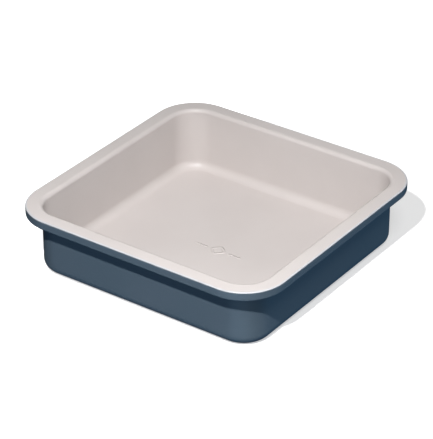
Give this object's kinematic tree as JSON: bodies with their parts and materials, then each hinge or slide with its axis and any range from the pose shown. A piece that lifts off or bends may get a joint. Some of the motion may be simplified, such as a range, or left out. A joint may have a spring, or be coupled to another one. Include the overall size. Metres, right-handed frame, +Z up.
{
  "type": "square cake pan",
  "caption": "Square straight-sided metal baking pan with rounded corners, a flat square-rolled rim, a light release coat inside and a dark blue coat outside.",
  "frame": {"origin": "middle of the underside, on the surface that the pan stands on", "axes": "+Z up out of the open top; the pan has no front of its own, so -Y is the side that the picture shows at the lower left and +X the side at the lower right; the raised mark in the floor runs along X"},
  "size_m": [0.2308, 0.2308, 0.055],
  "materials": {
    "sheet_steel": "bare drawn sheet steel, matt, hidden under the coats",
    "steel_wire": "plain drawn steel wire, closed inside the rolled rim",
    "light_release_coat": "satin warm light grey ceramic release coat with a fine orange-peel surface",
    "blue_outer_coat": "satin slate blue heat-proof coat with a fine orange-peel surface"
  },
  "bodies": {
    "root": {"pan_body": "sheet_steel", "rim_wire": "steel_wire", "interior_coating": "light_release_coat", "exterior_coating": "blue_outer_coat"}
  },
  "joints": []
}
